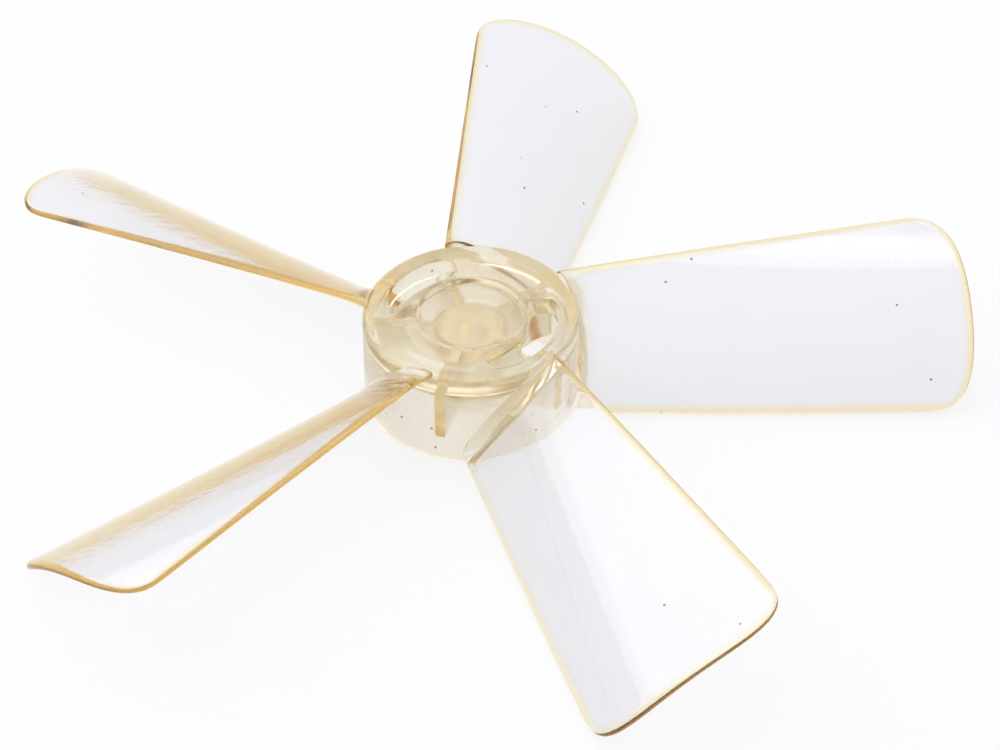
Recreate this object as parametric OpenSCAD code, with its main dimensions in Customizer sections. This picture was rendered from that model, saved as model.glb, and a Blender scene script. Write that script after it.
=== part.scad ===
// Five-bladed axial fan impeller, moulded in one piece from clear resin
// The origin is on the shaft's axis, at the height of the hub's lower rim

/* [Hub] */
// Outside diameter of the hub
hub_d = 25; // [21:0.5:32]
// Height of the hub
hub_h = 12; // [10:0.5:16]
// Thickness of the skirt round the hub
skirt_t = 1.2; // [0.8:0.1:2]
// Thickness of the deck that closes the top
deck_t = 2.4; // [2:0.1:4]
// Radius on the outer edge of the deck
rim_r = 0.8; // [0.3:0.1:1.5]

/* [Seat in the deck] */
// Diameter of the flat round seat sunk in the deck
seat_d = 12.3; // [9:0.1:13]
// Depth of the seat below the deck
seat_sink = 1.1; // [0.4:0.1:1.4]

/* [Shaft boss] */
// Outside diameter of the boss
boss_d = 7.8; // [6:0.1:8.6]
// Diameter of the blind bore for the motor shaft
bore_d = 4; // [2:0.1:4.5]
// Depth of the bore from the boss's lower face
bore_depth = 7; // [4:0.5:8]

/* [Ribs] */
// Number of ribs between boss and skirt
rib_n = 5; // [3:1:8]
// Thickness of a rib
rib_t = 1.2; // [0.8:0.1:1.6]
// Height of the ribs' lower edges above the hub's lower rim
rib_lift = 3; // [1:0.5:6]
// Angle of the first rib
rib_az = 35; // [0:1:71]

/* [Windows] */
// Land left between the seat and a window
window_land = 0.5; // [0.3:0.1:1.2]
// Width of a window
window_w = 3.5; // [2:0.1:3.6]
// Angle at the middle of the first window's pocket
window_az = 148; // [0:1:359]
// Angle that each pocket spans
window_span = 93; // [60:1:120]
// Angle that a web of resin closes at the front end of each pocket
web_span = 27; // [6:1:50]
// Thickness of that web
web_t = 1.2; // [0.6:0.1:1.8]

/* [Arms] */
// Depth of the hollow along each arm of the deck
arm_dip = 0.4; // [0.1:0.1:0.8]
// Angle that the hollow spans
arm_span = 62; // [30:1:75]

/* [Blades] */
// Number of blades
blade_n = 5; // [3:1:6]
// Diameter over the blade tips
tip_d = 117; // [80:0.5:150]
// Length of the blade's chord at the hub
root_chord = 16.8; // [12:0.1:17]
// Length of the blade's chord at the tip
tip_chord = 25.1; // [16:0.1:32]
// Pitch angle at the hub
root_pitch = 47.7; // [35:0.1:50]
// Pitch angle at the tip
tip_pitch = 28.4; // [18:0.1:34]
// How far the pitch half way along falls below the mean of root and tip
pitch_sag = 1.6; // [0:0.1:4]
// Rise of the camber at the hub
root_camber = 1.5; // [0:0.1:3]
// Rise of the camber at the tip
tip_camber = 2.9; // [0:0.1:4]
// Thickness near the lower, leading edge
lead_t = 1.5; // [1:0.1:2.2]
// Thickness near the upper, trailing edge
trail_t = 0.8; // [0.6:0.1:1.6]
// Share of the root thickness that is left at the tip
tip_thin = 0.8; // [0.5:0.05:1]
// How far the tip's corners are drawn in from the tip circle
tip_round = 7.1; // [2:0.1:8]
// Squareness of the tip's outline, 2 for an ellipse and more for squarer corners
tip_square = 4; // [2:0.1:6]
// Distance from the edges and the tip over which the blade is rounded
edge_round = 0.7; // [0.3:0.1:1]
// Half thickness that the fillet adds to the blade's root
root_flare = 0.7; // [0:0.1:1]
// Distance from the skirt at which that fillet has died away
flare_len = 1.8; // [1:0.1:3]
// Angle of the first blade's tip
blade_az = 4.7; // [0:0.1:72]
// Angle by which a blade's root lags behind its tip
sweep = 0.6; // [0:0.1:6]
// Height of the chord's middle above the hub's lower rim
blade_z = 6.5; // [6:0.1:8]

/* [Ears] */
// Length of the small gusset along the blade's upper edge
ear_len = 3.4; // [2:0.1:5]
// Angle that the gusset spans on the skirt
ear_span = 11; // [6:0.5:16]
// Thickness of the gusset
ear_t = 0.9; // [0.6:0.1:1.4]

/* [Hidden] */
$fn = 96;

// Stations across a blade, along the fillet at its root and along the rest of its span
chord_steps = 14;
root_steps = 5;
span_steps = 16;
// Head start of the rounding at the tip, which leaves a narrow flat there
tip_flat = 0.03;
// Depth by which solids that join run into each other
bite = 0.6;
// Room by which a cut runs past the face that it opens
past = 1;

resin = [0.93, 0.86, 0.66];

hub_r = hub_d / 2;
skirt_in = hub_r - skirt_t;
deck_under = hub_h - deck_t;
seat_r = seat_d / 2;
window_in = seat_r + window_land;
window_out = window_in + window_w;
window_mid = window_in + window_w / 2;
// Radius of the arcs that end a window, a little over half its width, so that they meet its walls at an angle
end_r = 0.58 * window_w;
// Angle that such an arc takes at the middle of the width
end_half = asin(end_r / window_mid);
// Angle by which the web runs past the end of its pocket
web_margin = 6;
blade_gap = 360 / blade_n;
tip_r = tip_d / 2;
root_r = hub_r - min(bite, skirt_t / 2);
ear_top = hub_h - rim_r / 4;

function lerp(a, b, e) = a + (b - a) * e;

// Share of the way from the hub's wall to the tip circle
function reach(r) = (r - hub_r) / (tip_r - hub_r);

function chord(e) = lerp(root_chord, tip_chord, e);
function pitch(e) = lerp(root_pitch, tip_pitch, e) - 4 * pitch_sag * e * (1 - e);
function camber(e) = lerp(root_camber, tip_camber, e);
function lag(e) = -sweep * (1 - e);

// Place along the chord of station j: -1/2 at the lower edge, 1/2 at the upper one, closer near both
function across(j) = sin(180 * (j / chord_steps - 1 / 2)) / 2;

// Radius that the tip reaches at a place along the chord
function tip_at(s) = tip_r - tip_round * (1 - pow(1 - pow(abs(2 * s), tip_square), 1 / tip_square));

// A quarter circle: 0 at an edge, and 1 from edge_round inwards
function round_off(d) =
    let (t = min(1, max(0, d / edge_round)))
    sqrt(1 - (1 - t) * (1 - t));

// Half thickness that the fillet adds at a distance d from the skirt, and none at the blade's edges
function flare(s, d) =
    root_flare * pow(1 - min(1, max(0, d / flare_len)), 3) * (1 - pow(abs(2 * s), 6));

// Half the thickness: it falls from the lower edge to the upper one, and is rounded all round
function half_t(s, r) =
    let (e = reach(r))
    lerp(lead_t, trail_t, s + 1 / 2) / 2
    * lerp(1, tip_thin, e)
    * round_off(chord(e) * (1 / 2 - abs(s)))
    * round_off(tip_at(s) - r + tip_flat)
    + flare(s, r - hub_r);

// A point on the blade: s along the chord, u from root to tip, side 1 for the upper face and -1 for the lower
function blade_point(s, u, side) =
    let (
        r = lerp(root_r, tip_at(s), u),
        e = reach(r),
        p = pitch(e),
        off = camber(e) * (1 - 4 * s * s) + side * half_t(s, r),
        along = chord(e) * s * cos(p) - off * sin(p),
        up = chord(e) * s * sin(p) + off * cos(p),
        a = lag(e) + along / r * 180 / PI
    )
    [r * cos(a), r * sin(a), blade_z + up];

// Share of the span at station i: even steps along the fillet, then steps that shorten towards the tip
function share(i) =
    let (foot = (hub_r + flare_len - root_r) / (tip_r - root_r))
    i < root_steps ? foot * i / root_steps : lerp(foot, 1, sin(90 * (i - root_steps) / span_steps));

// One closed loop round the section at span station i, up the upper face and back along the lower one
function section(i) =
    let (u = share(i))
    concat(
        [for (j = [0 : chord_steps]) blade_point(across(j), u, 1)],
        [for (j = [chord_steps - 1 : -1 : 1]) blade_point(across(j), u, -1)]
    );

module blade() {
    ring = 2 * chord_steps;
    last = root_steps + span_steps;
    points = [for (i = [0 : last]) each section(i)];
    sides = [
        for (i = [0 : last - 1]) for (j = [0 : ring - 1])
            let (a = i * ring + j, b = i * ring + (j + 1) % ring)
            each [[a, b, b + ring], [a, b + ring, a + ring]]
    ];
    ends = [
        for (i = [0, last]) for (j = [0 : chord_steps - 1])
            let (
                a = i * ring + j,
                b = a + 1,
                c = i * ring + (ring - j - 1) % ring,
                d = i * ring + (ring - j) % ring,
                halves = j == 0 ? [[a, b, c]] : j == chord_steps - 1 ? [[a, b, d]] : [[a, b, c], [a, c, d]]
            )
            each i == 0 ? [for (f = halves) [f[2], f[1], f[0]]] : halves
    ];
    polyhedron(points = points, faces = concat(sides, ends), convexity = 6);
}

// Angle of the blade's upper edge at radius r
function edge_az(r) =
    let (e = reach(r))
    lag(e) + chord(e) / 2 * cos(pitch(e)) / r * 180 / PI;

function polar(r, a) = [r * cos(a), r * sin(a)];

// Small flat gusset between the upper edge of a blade and the skirt
module ear() {
    tip = hub_r + ear_len;
    foot = edge_az(hub_r);
    into_blade = 6;
    translate([0, 0, ear_top - ear_t])
        linear_extrude(height = ear_t)
            polygon([
                polar(hub_r - bite, foot - into_blade),
                polar(tip, edge_az(tip) - into_blade / 2),
                polar(tip, edge_az(tip)),
                polar(hub_r + bite, foot + ear_span * 0.8),
                polar(hub_r - bite, foot + ear_span)
            ]);
}

// Skirt and deck as one turned shell, with the rounded rim and the sunk seat
module shell() {
    difference() {
        rotate_extrude()
            union() {
                translate([skirt_in, 0])
                    square([skirt_t, hub_h - rim_r]);
                translate([0, deck_under])
                    square([hub_r - rim_r, deck_t]);
                translate([0, deck_under])
                    square([hub_r, deck_t - rim_r]);
                translate([hub_r - rim_r, hub_h - rim_r])
                    circle(r = rim_r);
            }
        translate([0, 0, hub_h - seat_sink])
            cylinder(h = seat_sink + past, r = seat_r);
    }
}

module boss() {
    cylinder(h = deck_under + bite, d = boss_d);
}

module rib() {
    translate([boss_d / 2 - bite, -rib_t / 2, rib_lift])
        cube([skirt_in - boss_d / 2 + 2 * bite, rib_t, deck_under + bite - rib_lift]);
}

// Outline of a window: a bent slot whose ends bulge outward as arcs
module window_outline() {
    half_span = window_span / 2 - end_half;
    intersection() {
        difference() {
            circle(r = window_out);
            circle(r = window_in);
        }
        union() {
            polygon([[0, 0], polar(2 * window_out, -half_span), polar(2 * window_out, half_span)]);
            for (side = [-1, 1])
                rotate(side * half_span)
                    translate([window_mid, 0])
                        circle(r = end_r);
        }
    }
}

// Cut for a window, right through the deck except at the end where the web stays
module window_cut(web_end) {
    difference() {
        translate([0, 0, deck_under - past])
            linear_extrude(height = deck_t + 2 * past)
                window_outline();
        translate([0, 0, deck_under - 2 * past])
            linear_extrude(height = web_t + 2 * past)
                polygon([
                    [0, 0],
                    polar(2 * window_out, web_end * (window_span / 2 - web_span)),
                    polar(2 * window_out, web_end * (window_span / 2 + web_margin))
                ]);
    }
}

// Shallow hollow along an arm between the windows, a bent rod's worth of the deck taken off
module arm_hollow() {
    // Radius of the rod that leaves a hollow of this depth and the window's width
    rod_r = (window_w * window_w / 4 + arm_dip * arm_dip) / (2 * arm_dip);
    rotate([0, 0, -arm_span / 2])
        rotate_extrude(angle = arm_span)
            intersection() {
                translate([window_mid, hub_h + rod_r - arm_dip])
                    circle(r = rod_r);
                translate([window_in, hub_h - deck_t])
                    square([window_w, deck_t + past]);
            }
}

module bore() {
    translate([0, 0, -past])
        cylinder(h = bore_depth + past, d = bore_d);
}

module hub() {
    difference() {
        union() {
            shell();
            boss();
            for (k = [0 : rib_n - 1])
                rotate([0, 0, rib_az + k * 360 / rib_n])
                    rib();
        }
        rotate([0, 0, window_az])
            window_cut(1);
        rotate([0, 0, window_az + 180])
            window_cut(-1);
        for (turn = [90, 270])
            rotate([0, 0, window_az + turn])
                arm_hollow();
        bore();
    }
}

module impeller() {
    color(resin)
        union() {
            hub();
            for (k = [0 : blade_n - 1])
                rotate([0, 0, blade_az + k * blade_gap]) {
                    blade();
                    ear();
                }
        }
}

impeller();
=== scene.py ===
# Five-bladed fan impeller cast in one piece from clear resin that has yellowed a little.
# Lengths in the dictionaries are millimetres and angles are degrees, unless a note says otherwise.
import bmesh
import bpy
import numpy as np
from mathutils import Matrix


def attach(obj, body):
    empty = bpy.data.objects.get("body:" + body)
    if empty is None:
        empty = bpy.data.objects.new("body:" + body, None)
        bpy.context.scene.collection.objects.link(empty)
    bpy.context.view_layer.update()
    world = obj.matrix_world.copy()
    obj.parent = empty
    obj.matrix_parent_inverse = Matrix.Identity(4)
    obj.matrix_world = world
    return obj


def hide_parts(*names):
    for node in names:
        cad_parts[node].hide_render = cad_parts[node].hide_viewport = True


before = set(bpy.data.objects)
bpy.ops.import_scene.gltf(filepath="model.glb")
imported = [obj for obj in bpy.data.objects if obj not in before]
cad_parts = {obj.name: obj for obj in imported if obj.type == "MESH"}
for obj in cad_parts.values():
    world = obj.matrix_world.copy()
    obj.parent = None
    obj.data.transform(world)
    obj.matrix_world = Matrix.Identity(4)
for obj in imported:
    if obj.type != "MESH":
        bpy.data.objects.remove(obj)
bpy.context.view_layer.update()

millimetre = 0.001


def lerp(a, b, t):
    return a + (b - a) * t


def polar(r, angle, z):
    # points from radius, angle in degrees and height
    turn = np.radians(angle)
    return np.stack(np.broadcast_arrays(r * np.cos(turn), r * np.sin(turn), z), -1)


def softStep(x, low, high):
    # 0 below low, 1 above high, and an even S between them
    t = np.clip((x - low) / (high - low), 0, 1)
    return t * t * (3 - 2 * t)


def turnBetween(angle, centre):
    # signed difference of two angles, from -180 to 180
    return (angle - centre + 180) % 360 - 180


def closedSurface(name, grid, thin=False):
    # A grid of rows x columns x 3 becomes a closed mesh whose columns join up into loops. The first
    # and last rows close in a fan on the middle of their loop, or, where the form is thin, in a strip
    # from one side to the other. The faces are turned round if the volume inside them, a sixth of
    # the sum of their triple products, comes out negative.
    rows, cols = grid.shape[:2]
    cell = np.arange(rows - 1)[:, None] * cols
    here = np.arange(cols)[None, :]
    after = (here + 1) % cols
    quads = np.stack([cell + here, cell + after, cell + cols + after, cell + cols + here], -1).reshape(-1, 4)
    base = (rows - 1) * cols
    if thin:
        j = np.arange(cols // 2)
        strip = np.stack([j, (cols - j) % cols, cols - j - 1, j + 1], -1)
        quads = np.concatenate([quads, strip, base + strip[:, ::-1]])
        fans = np.zeros((0, 3), int)
    else:
        first = rows * cols
        fans = np.concatenate([
            np.stack([np.full(cols, first), after[0], here[0]], -1),
            np.stack([np.full(cols, first + 1), base + here[0], base + after[0]], -1),
        ])
    points = np.concatenate([grid.reshape(-1, 3), grid[:1].mean(1), grid[-1:].mean(1)]) * millimetre
    corners = points[np.concatenate([quads[:, :3], quads[:, [0, 2, 3]], fans])]
    inside = np.einsum("ij,ij->i", corners[:, 0], np.cross(corners[:, 1], corners[:, 2])).sum() / 6
    turn = 1 if inside > 0 else -1
    mesh = bpy.data.meshes.new(name)
    mesh.from_pydata(points.tolist(), [], quads[:, ::turn].tolist() + fans[:, ::turn].tolist())
    welded = bmesh.new()
    welded.from_mesh(mesh)
    bmesh.ops.remove_doubles(welded, verts=welded.verts, dist=2e-7)
    bmesh.ops.delete(welded, geom=[v for v in welded.verts if not v.link_faces], context="VERTS")
    welded.to_mesh(mesh)
    welded.free()
    piece = bpy.data.objects.new(name, mesh)
    bpy.context.scene.collection.objects.link(piece)
    return piece


def roundedPath(corners, steps=7):
    # Corners are (across, up, radius). Each sharp corner gives way to an arc of that radius that
    # touches both of its sides, drawn in equal steps of angle.
    path = [np.array([corners[0][:2]])]
    for before, corner, after in zip(corners, corners[1:], corners[2:]):
        p, q, s = (np.array(c[:2], float) for c in (before, corner, after))
        inward, outward = (p - q) / np.linalg.norm(p - q), (s - q) / np.linalg.norm(s - q)
        half = np.arccos(np.clip(inward @ outward, -1, 1)) / 2
        bisector = (inward + outward) / np.linalg.norm(inward + outward)
        centre = q + bisector * corner[2] / np.sin(half)
        start = q + inward * corner[2] / np.tan(half) - centre
        finish = q + outward * corner[2] / np.tan(half) - centre
        a, b = np.arctan2(start[1], start[0]), np.arctan2(finish[1], finish[0])
        b = a + (b - a + np.pi) % (2 * np.pi) - np.pi
        t = np.linspace(a, b, steps)[:, None]
        path.append(centre + corner[2] * np.concatenate([np.cos(t), np.sin(t)], 1))
    path.append(np.array([corners[-1][:2]]))
    return np.concatenate(path)


def evenPath(path, gap):
    # adds points to a path's long straight parts, so that no two neighbours are further apart than gap
    parts = []
    for a, b in zip(path[:-1], path[1:]):
        n = max(1, int(np.ceil(np.linalg.norm(b - a) / gap)))
        parts.append(a + (b - a) * np.linspace(0, 1, n, endpoint=False)[:, None])
    return np.concatenate(parts + [path[-1:]])


# hub
hub = dict(
    radius=12.5, height=12.0, skirt=1.2, deck=2.4, rim=0.8,
    seatRadius=6.15, seatDepth=1.1, bossRadius=3.9, boreRadius=2.0, boreDepth=7.0,
    columns=300, gap=0.36,
)
trough = dict(inner=6.5, outer=10.3, depth=0.45, arms=[(52, 40), (232, 48)])  # (middle, half span) of each arm


def hubGrid(v):
    # The half section is carried round the axis. Each point then moves up or down by what the
    # deck's troughs take off at its radius and angle.
    h, r = v["height"], v["radius"]
    under = h - v["deck"]
    corners = [
        (0, h - v["seatDepth"], 0), (v["seatRadius"], h - v["seatDepth"], 0.3), (v["seatRadius"], h, 0.3),
        (r, h, v["rim"]), (r, 0, 0.3), (r - v["skirt"], 0, 0.3), (r - v["skirt"], under, 0.6),
        (v["bossRadius"], under, 0.6), (v["bossRadius"], 0, 0.25), (v["boreRadius"], 0, 0.2),
        (v["boreRadius"], v["boreDepth"], 0.3), (0, v["boreDepth"], 0),
    ]
    path = evenPath(roundedPath(corners), v["gap"])[1:-1]
    angle = np.linspace(0, 360, v["columns"], endpoint=False)[None, :]
    rr, zz = path[:, :1] + 0 * angle, path[:, 1:] + 0 * angle
    onDeck = (zz > h - v["rim"]) & (rr > v["seatRadius"] - 0.2)
    across = np.clip((rr - trough["inner"]) / (trough["outer"] - trough["inner"]), 0, 1)
    bowl = np.sin(np.pi * across) ** 1.2
    along = sum(softStep(half - np.abs(turnBetween(angle, mid)), 0, 12) for mid, half in trough["arms"])
    zz = zz - onDeck * trough["depth"] * bowl * along
    return polar(rr, angle, zz)


# windows through the deck
windows = [
    dict(name="leftWindow", start=101, finish=171, inner=6.65, outer=10.15, narrow=1.5, floor=8.4),
    dict(name="rightWindow", start=15, finish=-46, inner=6.65, outer=10.15, narrow=0.0, floor=8.4),
    dict(name="rightPocket", start=15, finish=-79, inner=6.65, outer=10.15, narrow=0.6, floor=10.8),
]
windowShape = dict(around=96, rows=14, squareness=3.2, flare=0.35, top=12.0)


def windowGrid(v, s):
    # A squared oval drawn in angle and radius, whose inner side closes in towards the far end.
    # It is carried up from below the deck, and spreads near the top to round the window's edge.
    t = np.linspace(0, 2 * np.pi, s["around"], endpoint=False)[None, :]
    along = np.sign(np.cos(t)) * np.abs(np.cos(t)) ** (2 / s["squareness"])
    across = np.sign(np.sin(t)) * np.abs(np.sin(t)) ** (2 / s["squareness"])
    level = np.linspace(0, 1, s["rows"])[:, None]
    z = np.where(level < 0.3, lerp(v["floor"], s["top"] - s["flare"], level / 0.3), s["top"] - s["flare"] + (level - 0.3) / 0.7 * (s["flare"] + 0.5))
    lift = np.clip((z - (s["top"] - s["flare"])) / s["flare"], 0, 1)
    spread = s["flare"] * (1 - np.sqrt(1 - 0.96 * lift ** 2))
    mid, half = (v["start"] + v["finish"]) / 2, (v["finish"] - v["start"]) / 2
    far = (along + 1) / 2
    inner = v["inner"] + v["narrow"] * far ** 2
    radius = lerp(inner, v["outer"], (across + 1) / 2) + spread * across
    angle = mid + half * along + np.sign(half) * np.degrees(spread / radius) * along
    return polar(radius, angle, z)


# blades
blade = dict(
    count=5, tipRadius=58.5, rootChord=16.8, tipChord=25.1, rootPitch=47.7, tipPitch=28.4, pitchSag=1.6,
    rootCamber=1.5, tipCamber=2.9, leadThick=1.5, trailThick=0.8, tipThin=0.8, tipRound=7.1, tipSquare=4.0,
    azimuth=4.7, sweep=0.6, middle=6.5, rootFlare=0.9, flareLength=0.7, edgeRound=0.7,
    around=32, rows=64,
)


def roundOff(distance, reach):
    # a quarter circle: 0 at an edge, and 1 from reach inwards
    t = np.clip(distance / reach, 0, 1)
    return np.sqrt(1 - (1 - t) ** 2)


def bladeGrid(v, k):
    # u runs from root to tip and s from the lower edge to the upper one. Chord, camber and thickness
    # change evenly along u, and pitch sags between its ends. The chord is laid round the axis at
    # each radius, so that the section bends with its circle.
    edge = np.sin(np.pi * (np.arange(v["around"] + 1) / v["around"] - 0.5)) / 2
    s = np.concatenate([edge, edge[-2:0:-1]])[None, :]
    side = np.concatenate([np.ones(v["around"] + 1), -np.ones(v["around"] - 1)])[None, :]
    u = np.sin(np.pi / 2 * np.linspace(0, 1, v["rows"]))[:, None]
    tip = v["tipRadius"] - v["tipRound"] * (1 - (1 - np.abs(2 * s) ** v["tipSquare"]).clip(0) ** (1 / v["tipSquare"]))
    r = lerp(hub["radius"] - 0.6, tip, u)
    e = (r - hub["radius"]) / (v["tipRadius"] - hub["radius"])
    pitch = np.radians(lerp(v["rootPitch"], v["tipPitch"], e) - 4 * v["pitchSag"] * e * (1 - e))
    chord = lerp(v["rootChord"], v["tipChord"], e)
    toEdge, toTip = chord * (0.5 - np.abs(s)), tip - r
    half = lerp(v["leadThick"], v["trailThick"], s + 0.5) / 2 * lerp(1, v["tipThin"], e)
    half = half * roundOff(toEdge, v["edgeRound"]) * roundOff(toTip, v["edgeRound"])
    half = half + v["rootFlare"] * np.exp(-(r - hub["radius"]).clip(0) / v["flareLength"]) * (1 - np.abs(2 * s) ** 6)
    rise = lerp(v["rootCamber"], v["tipCamber"], e) * (1 - 4 * s * s) + side * half
    along = chord * s * np.cos(pitch) - rise * np.sin(pitch)
    up = chord * s * np.sin(pitch) + rise * np.cos(pitch)
    angle = v["azimuth"] + 360 / v["count"] * k - v["sweep"] * (1 - e) + np.degrees(along / r)
    return polar(r, angle, v["middle"] + up)


# ribs under the deck
rib = dict(count=5, first=35.0, thick=1.2, low=3.0, high=10.2, inner=3.3, outer=11.9)


def ribGrid(v, k):
    # a squared oval, thick across and tall, carried straight out from the boss to the skirt
    t = np.linspace(0, 2 * np.pi, 32, endpoint=False)[None, :]
    across = np.sign(np.cos(t)) * np.abs(np.cos(t)) ** 0.25 * v["thick"] / 2
    up = (v["low"] + v["high"]) / 2 + np.sign(np.sin(t)) * np.abs(np.sin(t)) ** 0.25 * (v["high"] - v["low"]) / 2
    out = np.linspace(v["inner"], v["outer"], 8)[:, None]
    turn = np.radians(v["first"] + 360 / v["count"] * k)
    return np.stack(np.broadcast_arrays(
        out * np.cos(turn) - across * np.sin(turn), out * np.sin(turn) + across * np.cos(turn), up), -1)


def asOne(body, operation, tools):
    # joins or cuts closed meshes, and takes the tools away
    group = bpy.data.collections.new("tools")
    for tool in tools:
        bpy.context.scene.collection.objects.unlink(tool)
        group.objects.link(tool)
    step = body.modifiers.new("step", "BOOLEAN")
    step.operation, step.operand_type, step.solver = operation, "COLLECTION", "MANIFOLD"
    step.collection = group
    graph = bpy.context.evaluated_depsgraph_get()
    result = bpy.data.meshes.new_from_object(body.evaluated_get(graph))
    body.modifiers.clear()
    body.data = result
    for tool in tools:
        bpy.data.objects.remove(tool)
    bpy.data.collections.remove(group)
    return body


print("hub: turned shell, ribs and windows")
impeller = closedSurface("fanImpeller", hubGrid(hub))
ribs = [closedSurface("rib", ribGrid(rib, k)) for k in range(rib["count"])]
asOne(impeller, "UNION", ribs)
print("triangles after ribs", len(impeller.data.polygons))
asOne(impeller, "DIFFERENCE", [closedSurface(v["name"], windowGrid(v, windowShape)) for v in windows])
print("faces after windows", len(impeller.data.polygons))
blades = [closedSurface("blade", bladeGrid(blade, k), thin=True) for k in range(blade["count"])]
asOne(impeller, "UNION", blades)
print("faces after blades", len(impeller.data.polygons))

impeller.data.name = "fanImpeller"
impeller.data.shade_smooth()
impeller.data.set_sharp_from_angle(angle=np.radians(35))

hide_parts("impeller")
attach(impeller, "root")


# resin
# The blades' face colour is greyed and blued a little: painted shade and cool sky light, laid over the resin's own
# clear tint.
resin = dict(
    faceTintAndShade=(0.90, 0.91, 0.985), edgeTint=(0.93, 0.80, 0.45), hubTint=(0.95, 0.92, 0.84), seatTint=(0.96, 0.92, 0.82),
    ior=1.5, faceRough=0.07, hubRough=0.22, seatRough=0.38, stain=(0.93, 0.77, 0.35), density=75.0,
    edgeReach=1.3, mottle=0.05, speckSize=0.045,
)


def markSurface(piece, v):
    # Three shades from 0 to 1 are kept at the vertices: near a blade's edges, on the hub, and on the
    # sunk seat. A vertex's place along the chord is found by turning it back by the pitch at its radius.
    mesh = piece.data
    points = np.empty(len(mesh.vertices) * 3)
    mesh.vertices.foreach_get("co", points)
    x, y, z = points.reshape(-1, 3).T / millimetre
    r = np.hypot(x, y)
    e = (r - hub["radius"]) / (blade["tipRadius"] - hub["radius"])
    step = 360 / blade["count"]
    angle = (np.degrees(np.arctan2(y, x)) - blade["azimuth"] + blade["sweep"] * (1 - e) + step / 2) % step - step / 2
    pitch = np.radians(lerp(blade["rootPitch"], blade["tipPitch"], e) - 4 * blade["pitchSag"] * e * (1 - e))
    chord = lerp(blade["rootChord"], blade["tipChord"], e)
    s = (np.radians(angle) * r * np.cos(pitch) + (z - blade["middle"]) * np.sin(pitch)) / chord
    tip = blade["tipRadius"] - blade["tipRound"] * (1 - (1 - np.abs(2 * s).clip(0, 1) ** blade["tipSquare"]) ** (1 / blade["tipSquare"]))
    nearest = np.minimum(chord * (0.5 - np.abs(s)), tip - r)
    shades = dict(
        nearEdge=(1 - softStep(nearest, 0, v["edgeReach"])) * (r > hub["radius"]),
        onHub=1 - softStep(r, hub["radius"] + 0.1, hub["radius"] + 1.2),
        onSeat=(1 - softStep(r, hub["seatRadius"] - 0.5, hub["seatRadius"])) * (z > hub["height"] - hub["seatDepth"] - 0.2),
    )
    for name, shade in shades.items():
        mesh.attributes.new(name, "FLOAT", "POINT").data.foreach_set("value", shade.astype(np.float32))


def makeResin(v):
    material = bpy.data.materials.new("castResin")
    material.use_nodes = True
    nodes, links = material.node_tree.nodes, material.node_tree.links
    shader = nodes["Principled BSDF"]
    shader.inputs["IOR"].default_value = v["ior"]
    shader.inputs["Transmission Weight"].default_value = 1.0
    place = nodes.new("ShaderNodeTexCoord").outputs["Object"]

    def shade(name):
        node = nodes.new("ShaderNodeAttribute")
        node.attribute_name = name
        return node.outputs["Fac"]

    def math(operation, a, b):
        node = nodes.new("ShaderNodeMath")
        node.operation = operation
        for socket, value in zip(node.inputs, (a, b)):
            if isinstance(value, (int, float)):
                socket.default_value = value
            else:
                links.new(value, socket)
        return node.outputs[0]

    def blend(kind, amount, a, b):
        # mixes two numbers or two colours
        node = nodes.new("ShaderNodeMix")
        node.data_type = kind
        first = {"FLOAT": 2, "RGBA": 6}[kind]
        for socket, value in zip((node.inputs[0], node.inputs[first], node.inputs[first + 1]), (amount, a, b)):
            if isinstance(value, (int, float)):
                socket.default_value = value
            elif isinstance(value, tuple):
                socket.default_value = (*value, 1)
            else:
                links.new(value, socket)
        return node.outputs[{"FLOAT": 0, "RGBA": 2}[kind]]

    def noise(scale, detail=3):
        node = nodes.new("ShaderNodeTexNoise")
        node.inputs["Scale"].default_value, node.inputs["Detail"].default_value = scale, detail
        links.new(place, node.inputs["Vector"])
        return node.outputs[0]

    edge, onHub, onSeat = shade("nearEdge"), shade("onHub"), shade("onSeat")
    cloud = noise(160)
    # the blade faces take the greyed, blued colour: painted shade and cool sky light over the clear tint
    tint = blend("RGBA", edge, v["faceTintAndShade"], v["edgeTint"])
    tint = blend("RGBA", onHub, tint, v["hubTint"])
    tint = blend("RGBA", onSeat, tint, v["seatTint"])
    tint = blend("RGBA", math("MULTIPLY", cloud, v["mottle"]), tint, (0.6, 0.6, 0.62))

    cells = nodes.new("ShaderNodeTexVoronoi")  # a few of its cells have a dark speck in the middle
    cells.inputs["Scale"].default_value = 260
    links.new(place, cells.inputs["Vector"])
    pick = nodes.new("ShaderNodeSeparateColor")
    links.new(cells.outputs["Color"], pick.inputs[0])
    speck = math("MULTIPLY", math("LESS_THAN", cells.outputs["Distance"], v["speckSize"]), math("GREATER_THAN", pick.outputs[0], 0.7))
    tint = blend("RGBA", speck, tint, (0.10, 0.07, 0.05))
    links.new(tint, shader.inputs["Base Color"])

    rough = blend("FLOAT", onHub, v["faceRough"], v["hubRough"])
    rough = blend("FLOAT", onSeat, rough, v["seatRough"])
    rough = math("MULTIPLY", rough, math("ADD", math("MULTIPLY", noise(700), 0.8), 0.6))
    links.new(rough, shader.inputs["Roughness"])

    height = math("ADD", math("MULTIPLY", noise(1400, 2), 0.25), noise(260, 2))
    bump = nodes.new("ShaderNodeBump")
    bump.inputs["Distance"].default_value = 0.0002
    links.new(blend("FLOAT", onHub, 0.10, 0.45), bump.inputs["Strength"])
    links.new(height, bump.inputs["Height"])
    links.new(bump.outputs[0], shader.inputs["Normal"])

    inside = nodes.new("ShaderNodeVolumeAbsorption")
    inside.inputs["Color"].default_value = (*v["stain"], 1)
    inside.inputs["Density"].default_value = v["density"]
    links.new(inside.outputs[0], nodes["Material Output"].inputs["Volume"])
    return material


print("resin: shades at the vertices and the material")
markSurface(impeller, resin)
impeller.data.materials.clear()
impeller.data.materials.append(makeResin(resin))

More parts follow.
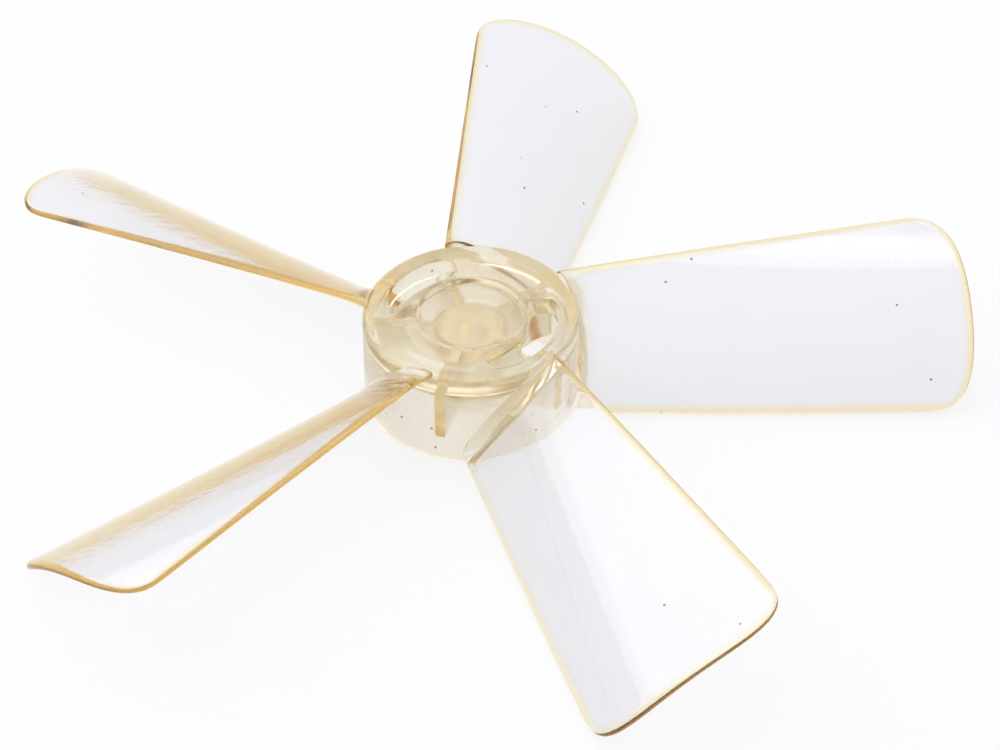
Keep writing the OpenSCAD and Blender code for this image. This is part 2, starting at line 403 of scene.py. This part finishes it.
# studio
studio = dict(
    floorSize=4.0, floorColour=(0.93, 0.935, 0.95), ownLight=0.82,
    skyColour=(0.9, 0.94, 1.0), skyStrength=0.55,
    keyPlace=(-0.35, 0.25, 0.75), keySize=1.2, keyPower=7.0, keyColour=(1.0, 0.97, 0.93),
)


def whiteFor(nodes, links):
    # 1 for what the camera sees, straight or in a mirror or through glass, and 0 for what lights the object
    path = nodes.new("ShaderNodeLightPath")
    most = None
    for name in ("Is Camera Ray", "Is Glossy Ray", "Is Transmission Ray"):
        if most is None:
            most = path.outputs[name]
            continue
        pick = nodes.new("ShaderNodeMath")
        pick.operation = "MAXIMUM"
        links.new(most, pick.inputs[0])
        links.new(path.outputs[name], pick.inputs[1])
        most = pick.outputs[0]
    return most


def makeFloor(v):
    # part of the floor's white is its own, for what the camera sees, and the rest shows the shadow
    material = bpy.data.materials.new("paleFloor")
    material.use_nodes = True
    nodes, links = material.node_tree.nodes, material.node_tree.links
    nodes.clear()
    matt, glow, mix, out = (nodes.new(kind) for kind in (
        "ShaderNodeBsdfDiffuse", "ShaderNodeEmission", "ShaderNodeMixShader", "ShaderNodeOutputMaterial"))
    matt.inputs["Color"].default_value = (*v["floorColour"], 1)
    glow.inputs["Color"].default_value = (1, 1, 1, 1)
    share = nodes.new("ShaderNodeMath")
    share.operation = "MULTIPLY"
    share.inputs[1].default_value = v["ownLight"]
    links.new(whiteFor(nodes, links), share.inputs[0])
    links.new(share.outputs[0], mix.inputs[0])
    links.new(matt.outputs[0], mix.inputs[1])
    links.new(glow.outputs[0], mix.inputs[2])
    links.new(mix.outputs[0], out.inputs["Surface"])
    half = v["floorSize"] / 2
    mesh = bpy.data.meshes.new("floor")
    mesh.from_pydata([(-half, -half, 0), (half, -half, 0), (half, half, 0), (-half, half, 0)], [], [(0, 1, 2, 3)])
    mesh.materials.append(material)
    floor = bpy.data.objects.new("floor", mesh)
    bpy.context.scene.collection.objects.link(floor)


def makeSky(v):
    world = bpy.data.worlds.new("studio")
    bpy.context.scene.world = world
    world.use_nodes = True
    nodes, links = world.node_tree.nodes, world.node_tree.links
    nodes.clear()
    light, seen, mix, out = (nodes.new(kind) for kind in (
        "ShaderNodeBackground", "ShaderNodeBackground", "ShaderNodeMixShader", "ShaderNodeOutputWorld"))
    light.inputs["Color"].default_value = (*v["skyColour"], 1)
    light.inputs["Strength"].default_value = v["skyStrength"]
    seen.inputs["Color"].default_value = (1, 1, 1, 1)
    links.new(whiteFor(nodes, links), mix.inputs[0])
    links.new(light.outputs[0], mix.inputs[1])
    links.new(seen.outputs[0], mix.inputs[2])
    links.new(mix.outputs[0], out.inputs["Surface"])


def makeLamp(v):
    data = bpy.data.lights.new("key", "AREA")
    data.size, data.energy, data.color = v["keySize"], v["keyPower"], v["keyColour"]
    lamp = bpy.data.objects.new("key", data)
    bpy.context.scene.collection.objects.link(lamp)
    place = np.array(v["keyPlace"])
    aim = -place / np.linalg.norm(place)
    side = np.cross(aim, (0, 0, 1)); side /= np.linalg.norm(side)
    up = np.cross(side, aim)
    lamp.matrix_world = Matrix([[side[i], up[i], -aim[i], place[i]] for i in range(3)] + [[0, 0, 0, 1]])


# camera
view = dict(
    place=(-0.004487, -0.25873, 0.234516), ahead=(0.022452, 0.743854, -0.667965),
    right=(0.999503, -0.03148, -0.001461), lens=107.078,  # metres, directions and lens in millimetres
)


def makeCamera(v):
    data = bpy.data.cameras.new("camera")
    data.lens, data.sensor_width, data.clip_start = v["lens"], 36.0, 0.01
    camera = bpy.data.objects.new("camera", data)
    bpy.context.scene.collection.objects.link(camera)
    ahead = np.array(v["ahead"]) / np.linalg.norm(v["ahead"])
    right = np.array(v["right"]) - ahead * (np.array(v["right"]) @ ahead)
    right /= np.linalg.norm(right)
    up = np.cross(right, ahead)
    camera.matrix_world = Matrix([[right[i], up[i], -ahead[i], v["place"][i]] for i in range(3)] + [[0, 0, 0, 1]])
    bpy.context.scene.camera = camera


print("studio: floor, sky, lamp and camera")
makeFloor(studio)
makeSky(studio)
makeLamp(studio)
makeCamera(view)
scene = bpy.context.scene
scene.view_settings.view_transform = "Standard"
scene.cycles.max_bounces, scene.cycles.glossy_bounces, scene.cycles.transmission_bounces = 40, 24, 32  # light runs far inside clear plates
